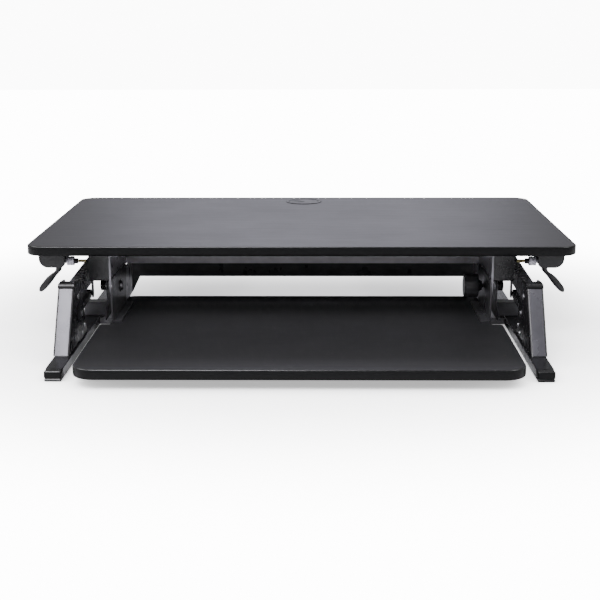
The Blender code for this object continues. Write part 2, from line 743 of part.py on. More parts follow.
TRAY_THICKNESS = 0.0155
TRAY_CORNER = 0.033
TRAY_WAIST = 0.3080
TRAY_NOTCH = WORKTOP_FRONT - 0.009
HANGER_OUTLINE = (
    behind(0.014, FIXING_Z), behind(0.014, 0.075), behind(0.040, 0.055), behind(0.138, 0.055),
    behind(0.160, 0.024), behind(0.238, 0.026), behind(0.238, 0.086), behind(0.176, 0.086),
    behind(0.176, FIXING_Z),
)
TRAY_SEAT = TRAY_TOP + GAP
TRAY_BRACKET_OUTLINE = (
    behind(0.002, TRAY_SEAT), behind(0.140, TRAY_SEAT), behind(0.156, 0.083),
    behind(0.150, 0.098), behind(0.020, 0.100), behind(0.002, 0.090),
)
TILT_HOLE = 0.0035


def hanger(side, label):
    low, high = span(side, HANGER_LAYER)
    radii = [0.0, 0.008, 0.010, 0.010, 0.006, 0.006, 0.006, 0.0, 0.0]
    hole = circle(TILT_AXIS, TILT_HOLE + GAP, 16)
    plate = extruded("hanger_" + label, rounded(HANGER_OUTLINE, radii, 4), low, high, "X", [hole])
    edge = span(side, (HANGER_LAYER[0] - 0.012, HANGER_LAYER[1]))
    flange = box(
        "hanger_flange", (edge[0], HANGER_OUTLINE[0].x, FIXING_Z - 0.003),
        (edge[1], HANGER_OUTLINE[-1].x, FIXING_Z),
    )
    node(joined(plate, flange), GREY_PAINT, WORKTOP)


def tray_bracket(side, label):
    low, high = span(side, BRACKET_LAYER)
    radii = [0.0, 0.0, 0.006, 0.010, 0.010, 0.010]
    hole = circle(TILT_AXIS, TILT_HOLE + GAP, 16)
    plate = extruded("tray_bracket_" + label, rounded(TRAY_BRACKET_OUTLINE, radii, 4), low, high, "X", [hole])
    edge = span(side, (BRACKET_LAYER[0] - 0.014, BRACKET_LAYER[1]))
    flange = box(
        "bracket_flange", (edge[0], TRAY_BRACKET_OUTLINE[0].x, TRAY_SEAT),
        (edge[1], TRAY_BRACKET_OUTLINE[1].x, TRAY_SEAT + 0.0025),
    )
    node(joined(plate, flange), BLACK_PAINT, TILT)


def keyboard_tray():
    """A board that narrows behind a notch on each side, so that it passes between the hangers."""
    half = TRAY_WIDTH / 2
    rear = FRONT + TRAY_DEPTH
    corners = [
        (-half, FRONT), (half, FRONT), (half, TRAY_NOTCH), (TRAY_WAIST, TRAY_NOTCH), (TRAY_WAIST, rear),
        (-TRAY_WAIST, rear), (-TRAY_WAIST, TRAY_NOTCH), (-half, TRAY_NOTCH),
    ]
    radii = [TRAY_CORNER, TRAY_CORNER, 0.006, 0.003, 0.012, 0.012, 0.003, 0.006]
    tray = extruded("keyboard_tray", rounded(corners, radii, 8), TRAY_TOP - TRAY_THICKNESS, TRAY_TOP, "Z")
    soften(tray, 0.0012)
    node(tray, LAMINATE, TILT)


def tilt_bolt():
    y, z = TILT_AXIS
    inner = BRACKET_LAYER[0] - GAP
    bolt = pin("tilt_bolt", -1, inner, HANGER_LAYER[1] + 0.004, TILT_AXIS, TILT_HOLE, 0.0085, 0.005)
    washer = cylinder("bolt_washer", 0.0105, (-inner, y, z), (-(inner - 0.0012), y, z), 20)
    node(joined(bolt, washer), STEEL, TILT)


def tilt_knob(hinge):
    """A clamp knob with shallow grips round its rim, a boss and its stud."""
    y, z = TILT_AXIS
    inner, outer = KNOB_LAYER
    grips = 8
    profile = []
    steps = grips * 6
    for step in range(steps):
        angle = 2 * math.pi * step / steps
        radius = 0.0207 + 0.0008 * math.cos(grips * angle)
        profile.append((y + radius * math.cos(angle), z + radius * math.sin(angle)))
    head = extruded("tilt_knob", profile, inner, outer, "X")
    boss = cylinder("knob_boss", 0.0070, (outer - 0.001, y, z), (BRACKET_LAYER[0] - GAP, y, z), 20)
    stud = cylinder("knob_stud", TILT_HOLE, (outer, y, z), (HANGER_LAYER[1] + 0.004, y, z), 16)
    node(joined(head, boss, stud), BLACK_PLASTIC, hinge)


# ---------------------------------------------------------------- assembly


def build():
    base_plate()
    worktop_board()
    grommet()
    keyboard_tray()
    arm_cross_tube()
    front_crossbar()
    rear_beam()
    for side, label in SIDES:
        foot(side, label)
        tower(side, label)
        tower_cap(side, label)
        inner_bracket(side, label)
        base_pins(side, label)
        main_arm(side, label)
        gas_spring(side, label)
        follower_arm(side, label)
        frame_rail(side, label)
        worktop_pins(side, label)
        lever_housing(side, label)
        lever_place = (side * LEVER_AXIS[0], WORKTOP_FRONT + LEVER_DEPTH[0], LEVER_AXIS[1])
        release_lever(side, label, pivot("lever_axis_" + label, lever_place, WORKTOP))
        cable_fittings(side, label)
        release_cable(side, label)
        hanger(side, label)
        tray_bracket(side, label)
    tilt_bolt()
    tilt_knob(pivot("knob_axis", (KNOB_LAYER[0], *TILT_AXIS), WORKTOP))


build()
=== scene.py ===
"""Standing desk converter in its lowest position on a pale desk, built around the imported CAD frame."""

import json
import math

import bmesh
import bpy
from mathutils import Matrix, Vector


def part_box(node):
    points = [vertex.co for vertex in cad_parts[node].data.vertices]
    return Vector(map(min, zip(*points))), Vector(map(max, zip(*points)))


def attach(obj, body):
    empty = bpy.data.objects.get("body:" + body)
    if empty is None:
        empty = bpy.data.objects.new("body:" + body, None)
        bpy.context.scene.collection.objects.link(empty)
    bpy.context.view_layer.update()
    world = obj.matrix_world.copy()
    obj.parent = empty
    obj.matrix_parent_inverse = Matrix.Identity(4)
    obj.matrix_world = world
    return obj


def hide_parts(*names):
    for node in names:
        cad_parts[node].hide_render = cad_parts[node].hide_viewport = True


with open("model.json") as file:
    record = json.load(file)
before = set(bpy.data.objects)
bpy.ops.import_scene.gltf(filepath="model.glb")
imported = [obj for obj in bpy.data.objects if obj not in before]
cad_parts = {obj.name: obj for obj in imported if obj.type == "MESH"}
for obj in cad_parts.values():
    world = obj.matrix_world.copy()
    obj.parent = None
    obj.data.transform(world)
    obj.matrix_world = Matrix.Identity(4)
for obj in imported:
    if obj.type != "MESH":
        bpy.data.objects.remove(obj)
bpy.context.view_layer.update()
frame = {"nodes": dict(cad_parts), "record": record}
NODES = frame["nodes"]
SIDES = ((-1, "left"), (1, "right"))

# ---------------------------------------------------------------- camera, light and desk

LENS = 73.98
SENSOR_WIDTH = 36
CLIP_END = 50
CAMERA_PLACE = (0.0254, -2.0661, 0.5316)
CAMERA_YAW = 0.79
CAMERA_PITCH = 13.46
CAMERA_ROLL = -0.14
ROOM_LIGHT = 0.38
ROOM_TINT = (0.97, 0.97, 1.0, 1)
BACKDROP_WHITE = 14.0
DESK_GLOW = 3.7

# Name, place, target, size, power and tint of each softbox.
SOFTBOXES = (
    ("front_softbox", (-1.0, -2.3, 3.4), (0, -0.1, 0.05), (2.0, 1.8), 170, (0.96, 0.95, 1.0)),
    ("right_softbox", (2.4, -1.0, 2.6), (0, 0, 0.05), (1.8, 1.8), 45, (0.98, 0.98, 1.0)),
    ("left_softbox", (-2.6, -0.4, 2.2), (0, 0, 0.05), (1.8, 1.8), 60, (0.98, 0.98, 1.0)),
    ("rear_softbox", (0.0, 3.2, 1.5), (0, 0.1, 0.1), (1.7, 1.2), 15, (0.86, 0.85, 1.0)),
)


def make_camera():
    """The front camera, a little above the worktop and looking slightly down."""
    data = bpy.data.cameras.new("camera")
    data.lens = LENS
    data.sensor_width = SENSOR_WIDTH
    data.clip_end = CLIP_END
    camera = bpy.data.objects.new("camera", data)
    bpy.context.scene.collection.objects.link(camera)
    turn = Matrix.Rotation(math.radians(CAMERA_YAW), 4, "Z")
    turn = turn @ Matrix.Rotation(math.radians(90 - CAMERA_PITCH), 4, "X")
    turn = turn @ Matrix.Rotation(math.radians(CAMERA_ROLL), 4, "Z")
    camera.matrix_world = Matrix.Translation(CAMERA_PLACE) @ turn
    bpy.context.scene.camera = camera


def area_light(name, place, target, size, power, tint):
    """A rectangular softbox aimed at a target."""
    data = bpy.data.lights.new(name, "AREA")
    data.shape = "RECTANGLE"
    data.size, data.size_y = size
    data.energy = power
    data.color = tint
    lamp = bpy.data.objects.new(name, data)
    lamp.location = place
    lamp.rotation_euler = (Vector(target) - Vector(place)).to_track_quat("-Z", "Y").to_euler()
    bpy.context.scene.collection.objects.link(lamp)


def make_light():
    """A dim room that lights the object, a white backdrop that only the camera sees, and softboxes."""
    world = bpy.data.worlds.new("studio")
    bpy.context.scene.world = world
    world.use_nodes = True
    tree = world.node_tree
    room = tree.nodes["Background"]
    room.inputs["Color"].default_value = ROOM_TINT
    room.inputs["Strength"].default_value = ROOM_LIGHT
    backdrop = tree.nodes.new("ShaderNodeBackground")
    backdrop.inputs["Strength"].default_value = BACKDROP_WHITE
    path = tree.nodes.new("ShaderNodeLightPath")
    mix = tree.nodes.new("ShaderNodeMixShader")
    tree.links.new(path.outputs["Is Camera Ray"], mix.inputs[0])
    tree.links.new(room.outputs[0], mix.inputs[1])
    tree.links.new(backdrop.outputs[0], mix.inputs[2])
    tree.links.new(mix.outputs[0], tree.nodes["World Output"].inputs["Surface"])
    for softbox in SOFTBOXES:
        area_light(*softbox)


make_camera()
make_light()

# ---------------------------------------------------------------- materials


class Graph:
    """A short way to write a node material."""

    def __init__(self, name):
        self.material = bpy.data.materials.new(name)
        self.material.use_nodes = True
        self.tree = self.material.node_tree
        self.shader = self.tree.nodes["Principled BSDF"]
        self.coords = self.tree.nodes.new("ShaderNodeTexCoord")

    def add(self, kind, **inputs):
        """Adds a node; an underscore in an input's name stands for a space."""
        made = self.tree.nodes.new(kind)
        for key, value in inputs.items():
            self.feed(made.inputs[key.replace("_", " ")], value)
        return made

    def feed(self, socket, value):
        """Links an output to the socket, or sets the socket to a plain value."""
        if isinstance(value, bpy.types.NodeSocket):
            self.tree.links.new(value, socket)
        else:
            socket.default_value = value

    def place(self, scale):
        """Object coordinates, scaled along each axis."""
        mapping = self.add("ShaderNodeMapping", Vector=self.coords.outputs["Object"], Scale=scale)
        return mapping.outputs["Vector"]

    def noise(self, scale, stretch=(1, 1, 1), detail=4.0, roughness=0.55):
        made = self.add("ShaderNodeTexNoise", Vector=self.place(stretch), Scale=scale, Detail=detail)
        made.inputs["Roughness"].default_value = roughness
        return made.outputs["Fac"]

    def ramp(self, fac, stops):
        """A colour ramp through (position, colour) stops."""
        made = self.add("ShaderNodeValToRGB", Fac=fac)
        ramp = made.color_ramp
        while len(ramp.elements) < len(stops):
            ramp.elements.new(0.5)
        for element, (place, colour) in zip(ramp.elements, stops):
            element.position = place
            element.color = (*colour, 1)
        return made.outputs["Color"]

    def range(self, value, low, high, start=0.0, end=1.0):
        """Maps start to end onto low to high."""
        made = self.add("ShaderNodeMapRange", Value=value)
        for key, number in (("From Min", start), ("From Max", end), ("To Min", low), ("To Max", high)):
            made.inputs[key].default_value = number
        return made.outputs["Result"]

    def math(self, operation, a, b=0.0):
        made = self.tree.nodes.new("ShaderNodeMath")
        made.operation = operation
        self.feed(made.inputs[0], a)
        self.feed(made.inputs[1], b)
        return made.outputs[0]

    def bump(self, height, strength, distance):
        made = self.add("ShaderNodeBump", Height=height, Strength=strength, Distance=distance)
        return made.outputs["Normal"]

    def set(self, **inputs):
        """Feeds the shader's inputs and gives back the material."""
        for key, value in inputs.items():
            self.feed(self.shader.inputs[key.replace("_", " ")], value)
        return self.material


def laminate():
    """Dark laminate with a fine grain that runs from side to side."""
    g = Graph("charcoal_laminate")
    streaks = g.noise(260, (0.035, 1, 1), 5.0, 0.7)
    fibres = g.noise(1500, (0.03, 1, 1), 2.0)
    clouds = g.noise(7, (1, 1, 1), 3.0)
    mixed = g.math("ADD", g.math("MULTIPLY", streaks, 0.6), g.math("MULTIPLY", fibres, 0.4))
    colour = g.ramp(mixed, [(0.30, (0.008, 0.0078, 0.0088)), (0.70, (0.020, 0.0195, 0.0215))])
    rough = g.math("ADD", g.range(mixed, 0.38, 0.48, 0.3, 0.7), g.range(clouds, -0.02, 0.02, 0.3, 0.7))
    normal = g.bump(mixed, 0.25, 0.0003)
    return g.set(Base_Color=colour, Roughness=rough, Normal=normal)


def powder_coat(name, dark, light, rough, metallic=0.0):
    """Powder-coated steel with a fine orange-peel surface."""
    g = Graph(name)
    peel = g.noise(900, (1, 1, 1), 2.0)
    patches = g.noise(35, (1, 1, 1), 4.0)
    colour = g.ramp(patches, [(0.3, dark), (0.7, light)])
    roughness = g.range(patches, rough - 0.04, rough + 0.05, 0.3, 0.7)
    normal = g.bump(peel, 0.12, 0.0002)
    return g.set(Base_Color=colour, Roughness=roughness, Metallic=metallic, Normal=normal)


def moulded_plastic():
    """Black plastic with a fine spark-eroded texture and rubbed patches."""
    g = Graph("moulded_plastic")
    grain = g.noise(2200, (1, 1, 1), 2.0)
    rubbed = g.noise(45, (1, 1, 1), 4.0)
    colour = g.ramp(rubbed, [(0.3, (0.007, 0.007, 0.0075)), (0.7, (0.012, 0.012, 0.013))])
    roughness = g.range(rubbed, 0.36, 0.48, 0.3, 0.7)
    normal = g.bump(grain, 0.25, 0.00015)
    return g.set(Base_Color=colour, Roughness=roughness, Normal=normal)


def plated(name, dark, light, rough):
    """Plated or turned metal with fine turning marks."""
    g = Graph(name)
    marks = g.noise(900, (6, 1, 1), 3.0)
    spots = g.noise(120, (1, 1, 1), 4.0)
    colour = g.ramp(spots, [(0.35, dark), (0.65, light)])
    roughness = g.range(marks, rough - 0.06, rough + 0.10, 0.3, 0.7)
    return g.set(Base_Color=colour, Roughness=roughness, Metallic=1.0, Normal=g.bump(marks, 0.1, 0.0001))


def jacket():
    """The black vinyl of the release cables."""
    g = Graph("cable_jacket")
    grain = g.noise(700, (1, 1, 1), 3.0)
    colour = g.ramp(grain, [(0.3, (0.010, 0.010, 0.011)), (0.7, (0.018, 0.018, 0.019))])
    return g.set(Base_Color=colour, Roughness=g.range(grain, 0.45, 0.6), Normal=g.bump(grain, 0.2, 0.0002))


def desk_white():
    """White desk top with a camera-only glow that painted shade dims under and around the object, and that
    fades into the white backdrop away from it.
    """
    g = Graph("desk_white")
    specks = g.noise(60, (1, 1, 1), 4.0)
    colour = g.ramp(specks, [(0.3, (0.88, 0.88, 0.885)), (0.7, (0.90, 0.90, 0.905))])
    g.set(Base_Color=colour, Roughness=0.6, Normal=g.bump(specks, 0.02, 0.0005))
    reach = g.add("ShaderNodeVectorMath", Vector=g.place((1, 1.25, 1)))
    reach.operation = "LENGTH"
    fade = g.range(reach.outputs["Value"], 0.0, 1.0, 0.50, 1.15)
    fade.node.interpolation_type = "SMOOTHSTEP"
    g.set(Emission_Color=(1, 1, 1, 1))
    path = g.add("ShaderNodeLightPath")
    seen = path.outputs["Is Camera Ray"]
    # Painted shade: ambient occlusion dims the camera-only glow under and around the object, a painted
    # contact shadow.
    shade = g.add("ShaderNodeAmbientOcclusion", Distance=0.24)
    painted_shade_dimming = g.range(shade.outputs["AO"], 0.16, 1.0, 0.15, 0.92)
    g.set(Emission_Strength=g.math("MULTIPLY", g.math("MULTIPLY", seen, DESK_GLOW), painted_shade_dimming))
    glow = g.add("ShaderNodeEmission", Strength=BACKDROP_WHITE)
    share = g.math("MULTIPLY", fade, seen)
    mix = g.add("ShaderNodeMixShader")
    g.feed(mix.inputs[0], share)
    g.feed(mix.inputs[1], g.shader.outputs[0])
    g.feed(mix.inputs[2], glow.outputs[0])
    g.feed(g.tree.nodes["Material Output"].inputs["Surface"], mix.outputs[0])
    return g.material


def edge_band():
    """A dark band pressed round a board's edge, with a painted sheen: faces that point upward get a higher
    specular level and less roughness than its sides.
    """
    g = Graph("edge_band")
    grain = g.noise(1200, (0.2, 0.2, 1), 3.0)
    facing = g.add("ShaderNodeSeparateXYZ", Vector=g.coords.outputs["Normal"])
    # Painted sheen: how far a face points up raises its specular level and lowers its roughness, standing
    # in for the highlight along the top edges.
    upward_sheen_mask = g.range(facing.outputs["Z"], 0.0, 1.0, 0.35, 0.75)
    colour = g.ramp(grain, [(0.3, (0.0025, 0.0025, 0.0027)), (0.7, (0.0045, 0.0045, 0.0048))])
    rough = g.math("SUBTRACT", g.range(grain, 0.30, 0.40, 0.3, 0.7), g.math("MULTIPLY", upward_sheen_mask, 0.12))
    g.set(Specular_IOR_Level=g.math("ADD", 0.16, g.math("MULTIPLY", upward_sheen_mask, 0.84)))
    return g.set(Base_Color=colour, Roughness=rough, Normal=g.bump(grain, 0.2, 0.0002))


def backing():
    """The plain black balancing sheet below the board."""
    g = Graph("backing_sheet")
    grain = g.noise(500, (1, 1, 1), 4.0)
    colour = g.ramp(grain, [(0.3, (0.010, 0.010, 0.010)), (0.7, (0.016, 0.016, 0.017))])
    return g.set(Base_Color=colour, Roughness=g.range(grain, 0.55, 0.7), Normal=g.bump(grain, 0.2, 0.0002))


LAMINATE = laminate()
EDGE_BAND = edge_band()
BACKING = backing()
# The tower's front face: a lighter, glossier coat on an otherwise black tower, a painted reflection of the
# front softbox.
PAINTED_LIT_FACE_STEEL = powder_coat("tower_face_painted_reflection", (0.085, 0.083, 0.094), (0.096, 0.094, 0.106), 0.25, 0.35)
STRIP_COAT = powder_coat("strip_powder_coat", (0.50, 0.49, 0.53), (0.56, 0.55, 0.59), 0.34)
HANGER_COAT = powder_coat("hanger_powder_coat", (0.26, 0.256, 0.28), (0.30, 0.296, 0.32), 0.30, 0.2)
BRACKET_COAT = powder_coat("bracket_powder_coat", (0.030, 0.030, 0.032), (0.040, 0.040, 0.043), 0.30)
RAIL_COAT = powder_coat("rail_powder_coat", (0.010, 0.010, 0.011), (0.015, 0.015, 0.016), 0.26)
FOOT_COAT = powder_coat("foot_powder_coat", (0.009, 0.009, 0.010), (0.013, 0.013, 0.014), 0.24)
PLATE_COAT = powder_coat("base_plate_coat", (0.20, 0.197, 0.21), (0.24, 0.237, 0.25), 0.34)
BLACK_STEEL = powder_coat("black_powder_coat", (0.005, 0.005, 0.0056), (0.008, 0.008, 0.009), 0.27)
GRAPHITE = powder_coat("graphite_powder_coat", (0.060, 0.059, 0.066), (0.072, 0.071, 0.079), 0.33)
PLASTIC = moulded_plastic()
ZINC = plated("zinc_plate", (0.52, 0.52, 0.54), (0.72, 0.72, 0.74), 0.26)
BRASS = plated("turned_brass", (0.42, 0.36, 0.18), (0.60, 0.53, 0.30), 0.28)
JACKET = jacket()
SILVER = powder_coat("silver_sleeve_paint", (0.62, 0.61, 0.68), (0.70, 0.69, 0.76), 0.32, 0.3)
KNOB_PLASTIC = powder_coat("knob_plastic", (0.050, 0.050, 0.053), (0.065, 0.065, 0.069), 0.24)

# Nodes whose finish differs from the one of their material slot.
SPECIAL = {"front_crossbar": STRIP_COAT, "base_plate": PLATE_COAT, "rear_beam": BRACKET_COAT}
for _, label in SIDES:
    SPECIAL[f"hanger_{label}"] = HANGER_COAT
    SPECIAL[f"tray_bracket_{label}"] = BRACKET_COAT
    SPECIAL[f"frame_rail_{label}"] = RAIL_COAT
    SPECIAL[f"foot_tube_{label}"] = FOOT_COAT

# The finish of each material slot.
FINISHES = {
    "laminate": LAMINATE, "black_paint": BLACK_STEEL, "grey_paint": GRAPHITE, "black_plastic": PLASTIC,
    "zinc": ZINC, "brass": BRASS, "cable_jacket": JACKET,
}

# ---------------------------------------------------------------- shapes

# Each turn makes the extrusion of a flat outline run along that axis.
TURNS = {
    "X": Matrix(((0, 0, 1, 0), (1, 0, 0, 0), (0, 1, 0, 0), (0, 0, 0, 1))),
    "Y": Matrix(((1, 0, 0, 0), (0, 0, 1, 0), (0, 1, 0, 0), (0, 0, 0, 1))),
    "Z": Matrix.Identity(4),
}


def piece(name, shape, finishes, body, replaced=(), sharp=32):
    """Turns a bmesh into a finished piece that rides on a body and stands for its CAD nodes."""
    bmesh.ops.recalc_face_normals(shape, faces=shape.faces)
    mesh = bpy.data.meshes.new(name)
    shape.to_mesh(mesh)
    shape.free()
    for finish in finishes if isinstance(finishes, (list, tuple)) else (finishes,):
        mesh.materials.append(finish)
    mesh.shade_smooth()
    mesh.set_sharp_from_angle(angle=math.radians(sharp))
    obj = bpy.data.objects.new(name, mesh)
    bpy.context.scene.collection.objects.link(obj)
    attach(obj, body)
    if replaced:
        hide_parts(*replaced)
    return obj


def soften(obj, width, segments=3, limit=35):
    """Rounds the edges that turn by more than the limit in degrees."""
    bevel = obj.modifiers.new("soft_edges", "BEVEL")
    bevel.width = width
    bevel.segments = segments
    bevel.limit_method = "ANGLE"
    bevel.angle_limit = math.radians(limit)
    bevel.harden_normals = True


def finish_frame():
    """Gives every CAD node the finish of its material slot, and softens its edges."""
    slots = {part["node"]: part["material_slot"] for part in frame["record"]["subparts"]}
    for name, obj in NODES.items():
        obj.data.materials.clear()
        obj.data.materials.append(SPECIAL.get(name, FINISHES[slots[name]]))
        soften(obj, 0.0004, 2, 40)


def rounded(points, radii, steps):
    """The closed outline through points, with each corner turned into an arc of its radius."""
    outline = []
    count = len(points)
    for i, point in enumerate(points):
        corner = Vector(point)
        radius = radii[i]
        before = (Vector(points[i - 1]) - corner).normalized()
        after = (Vector(points[(i + 1) % count]) - corner).normalized()
        half = before.angle(after) / 2
        centre = corner + (before + after).normalized() * radius / math.sin(half)
        start = corner + before * radius / math.tan(half) - centre
        end = corner + after * radius / math.tan(half) - centre
        turn = start.angle_signed(end)
        for step in range(steps + 1):
            outline.append(centre + Matrix.Rotation(-turn * step / steps, 2) @ start)
    return outline


def circle(centre, radius, steps):
    """A flat round outline."""
    angles = [2 * math.pi * step / steps for step in range(steps)]
    return [Vector(centre) + radius * Vector((math.cos(a), math.sin(a))) for a in angles]


def loft(shape, rings, closed_ends=True):
    """Skins a list of rings of equal length, and closes the first and last."""
    made = [[shape.verts.new(point) for point in ring] for ring in rings]
    for lower, upper in zip(made, made[1:]):
        for i in range(len(lower)):
            j = (i + 1) % len(lower)
            shape.faces.new((lower[i], lower[j], upper[j], upper[i]))
    if closed_ends:
        shape.faces.new(made[0])
        shape.faces.new(made[-1])
    return made


def prism(outline, low, high, axis):
    """A flat outline extruded from low to high along an axis of the world."""
    shape = bmesh.new()
    turn = TURNS[axis]
    loft(shape, [[turn @ Vector((p[0], p[1], level)) for p in outline] for level in (low, high)])
    return shape


def merged(*shapes):
    """Puts several separate closed shapes into one bmesh."""
    total = shapes[0]
    for other in shapes[1:]:
        mesh = bpy.data.meshes.new("merge")
        other.to_mesh(mesh)
        other.free()
        total.from_mesh(mesh)
        bpy.data.meshes.remove(mesh)
    return total


def polar(radius, angle, along):
    """A point round the Z axis."""
    return Vector((radius * math.cos(angle), radius * math.sin(angle), along))


def turned(profile, start, direction, segments=48):
    """A round shape: profile is a list of (distance along direction, radius)."""
    shape = bmesh.new()
    turn = Vector(direction).normalized().to_track_quat("Z", "Y").to_matrix()
    rings = []
    for along, radius in profile:
        ring = []
        for step in range(segments):
            angle = 2 * math.pi * step / segments
            ring.append(Vector(start) + turn @ polar(radius, angle, along))
        rings.append(ring)
    loft(shape, rings)
    return shape


def tube_wall(profile, start, direction, segments=48):
    """A round shape with a hole through it: the profile runs round the wall and closes on itself."""
    shape = bmesh.new()
    turn = Vector(direction).normalized().to_track_quat("Z", "Y").to_matrix()
    made = []
    for step in range(segments):
        angle = 2 * math.pi * step / segments
        made.append([
            shape.verts.new(Vector(start) + turn @ polar(radius, angle, along)) for along, radius in profile
        ])
    count = len(profile)
    for i in range(segments):
        for k in range(count):
            a, b = made[i], made[(i + 1) % segments]
            shape.faces.new((a[k], b[k], b[(k + 1) % count], a[(k + 1) % count]))
    return shape


def panel_outline(low, high, radii, inset, steps=10):
    """A rectangle with its own radius at each corner, drawn in by inset."""
    corners = (
        (low[0], low[1], 1, 1), (high[0], low[1], -1, 1),
        (high[0], high[1], -1, -1), (low[0], high[1], 1, -1),
    )
    outline = []
    for i, (x, y, sx, sy) in enumerate(corners):
        centre = Vector((x + sx * radii[i], y + sy * radii[i]))
        for step in range(steps + 1):
            angle = math.radians(180 + 90 * i + 90 * step / steps)
            outline.append(centre + (radii[i] - inset) * Vector((math.cos(angle), math.sin(angle))))
    return outline


TOP_FACE, BAND_FACE, UNDER_FACE = 0, 1, 2
BOARD_EDGE = 0.0020
BAND_LIP = 0.0006


def edge_levels(bottom, top):
    """The inset and height of each ring up a board's rounded edge, ending just inside its top."""
    quarter = [math.radians(90 * step / 4) for step in range(5)]
    levels = [(BOARD_EDGE * (1 - math.sin(a)), bottom + BOARD_EDGE * (1 - math.cos(a))) for a in quarter]
    levels += [(BOARD_EDGE * (1 - math.cos(a)), top - BOARD_EDGE * (1 - math.sin(a))) for a in quarter]
    return levels + [(BOARD_EDGE + BAND_LIP, top)]


def bored(shape, hole, bottom, top):
    """The wall of a hole through a board; gives its lower and upper loops."""
    upper = [shape.verts.new((*p, top)) for p in hole]
    lower = [shape.verts.new((*p, bottom)) for p in hole]
    for i in range(len(hole)):
        j = (i + 1) % len(hole)
        shape.faces.new((upper[i], upper[j], lower[j], lower[i])).material_index = UNDER_FACE
    return lower, upper


def close_side(shape, rim, opening, finish):
    """Fills one flat side of a board inside its rim, around the opening where there is one."""
    if not opening:
        shape.faces.new(rim).material_index = finish
        return
    edges = []
    for loop in (rim, opening):
        for i, vertex in enumerate(loop):
            pair = (vertex, loop[(i + 1) % len(loop)])
            edges.append(shape.edges.get(pair) or shape.edges.new(pair))
    filled = bmesh.ops.triangle_fill(shape, edges=edges, use_beauty=True)
    for face in filled["geom"]:
        if isinstance(face, bmesh.types.BMFace):
            face.material_index = finish


def board(outline, low, high, hole=()):
    """A laminated board: a faced top, a rounded edge band and a plain underside."""
    shape = bmesh.new()
    rings = [[Vector((*p, z)) for p in outline(inset)] for inset, z in edge_levels(low.z, high.z)]
    made = loft(shape, rings, closed_ends=False)
    bottom, top = made[0], made[-1]
    for face in shape.faces:
        face.material_index = BAND_FACE
    for i, vertex in enumerate(top):
        following = top[(i + 1) % len(top)]
        for face in vertex.link_faces:
            if following in face.verts:
                face.material_index = TOP_FACE
    lower, upper = bored(shape, hole, low.z, high.z)
    close_side(shape, top, upper, TOP_FACE)
    close_side(shape, bottom, lower, UNDER_FACE)
    return shape


def corners_of(node):
    """The low and high corners of a CAD node's box."""
    low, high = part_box(node)
    return Vector(low), Vector(high)


def side_span(side, inner, outer):
    """A range of X on one side, given as distances from the middle."""
    return sorted((side * inner, side * outer))


def rectangle(across, low, high):
    """The four corners of an upright rectangle, from its two X values and two heights."""
    return [(across[0], low), (across[1], low), (across[1], high), (across[0], high)]


# ---------------------------------------------------------------- worktop, tray and grommet

BOARD_LOW, BOARD_HIGH = corners_of("worktop_board")
BOARD_CORNER = 0.030
FRONT_EDGE = BOARD_LOW.y
SURFACE = BOARD_HIGH.z

TRAY_LOW, TRAY_HIGH = corners_of("keyboard_tray")
TRAY_WAIST = 0.3080
TRAY_NOTCH = FRONT_EDGE - 0.009
TRAY_FRONT_CORNER = 0.033
TRAY_SHOULDER = 0.006
TRAY_FILLET = -0.003
TRAY_REAR_CORNER = 0.012

RING_LOW, RING_HIGH = corners_of("grommet_ring")
GROMMET = (RING_LOW + RING_HIGH) / 2
GROMMET_HOLE = 0.0316
GROMMET_COVER = 0.0281
COVER_UNDER = -0.0026
COVER_PROUD = 0.0007


def behind(distance):
    """The Y value at a distance behind the worktop's front edge."""
    return FRONT_EDGE + distance


def at(distance, height):
    """A side-view point given as a distance behind the worktop's front edge."""
    return Vector((behind(distance), height))


def worktop_outline(inset):
    """The worktop's outline, drawn in by inset."""
    return panel_outline(BOARD_LOW, BOARD_HIGH, [BOARD_CORNER] * 4, inset)


def tray_outline(inset):
    """The tray's outline, which narrows to its waist behind a notch on each side."""
    low, high = TRAY_LOW, TRAY_HIGH
    corners = (
        (low.x, low.y, 1, 1, TRAY_FRONT_CORNER),
        (high.x, low.y, -1, 1, TRAY_FRONT_CORNER),
        (high.x, TRAY_NOTCH, -1, -1, TRAY_SHOULDER),
        (TRAY_WAIST, TRAY_NOTCH, -1, -1, TRAY_FILLET),
        (TRAY_WAIST, high.y, -1, -1, TRAY_REAR_CORNER),
        (-TRAY_WAIST, high.y, 1, -1, TRAY_REAR_CORNER),
        (-TRAY_WAIST, TRAY_NOTCH, 1, -1, TRAY_FILLET),
        (low.x, TRAY_NOTCH, 1, -1, TRAY_SHOULDER),
    )
    points = [(x + sx * inset, y + sy * inset) for x, y, sx, sy, _ in corners]
    radii = [radius - inset if radius > 0 else inset - radius for *_, radius in corners]
    return rounded(points, radii, 8)


def boards():
    """The worktop, with its hole for the grommet, and the keyboard tray."""
    finishes = (LAMINATE, EDGE_BAND, BACKING)
    hole = circle((GROMMET.x, GROMMET.y), GROMMET_HOLE, 48)
    top = board(worktop_outline, BOARD_LOW, BOARD_HIGH, hole)
    piece("worktop_slab", top, finishes, "worktop", ["worktop_board"])
    tray = board(tray_outline, TRAY_LOW, TRAY_HIGH)
    piece("tray_slab", tray, finishes, "tray", ["keyboard_tray"])


def leaf_outline():
    """The leaf-shaped outline of the slot in the grommet's cover."""
    start = Vector((GROMMET.x - 0.0255, GROMMET.y + 0.0060))
    end = Vector((GROMMET.x + 0.0030, GROMMET.y - 0.0065))
    across = Vector((0.40, 0.92))
    bow = 0.0022
    half_width = 0.0030
    leaf = []
    for sign, steps in ((1, range(15)), (-1, range(14, 0, -1))):
        for step in steps:
            share = step / 15 if sign > 0 else (step + 0.5) / 15
            swell = math.sin(math.pi * share)
            middle = start.lerp(end, share) + across * bow * swell
            leaf.append(middle + across * sign * half_width * swell ** 0.8)
    return leaf


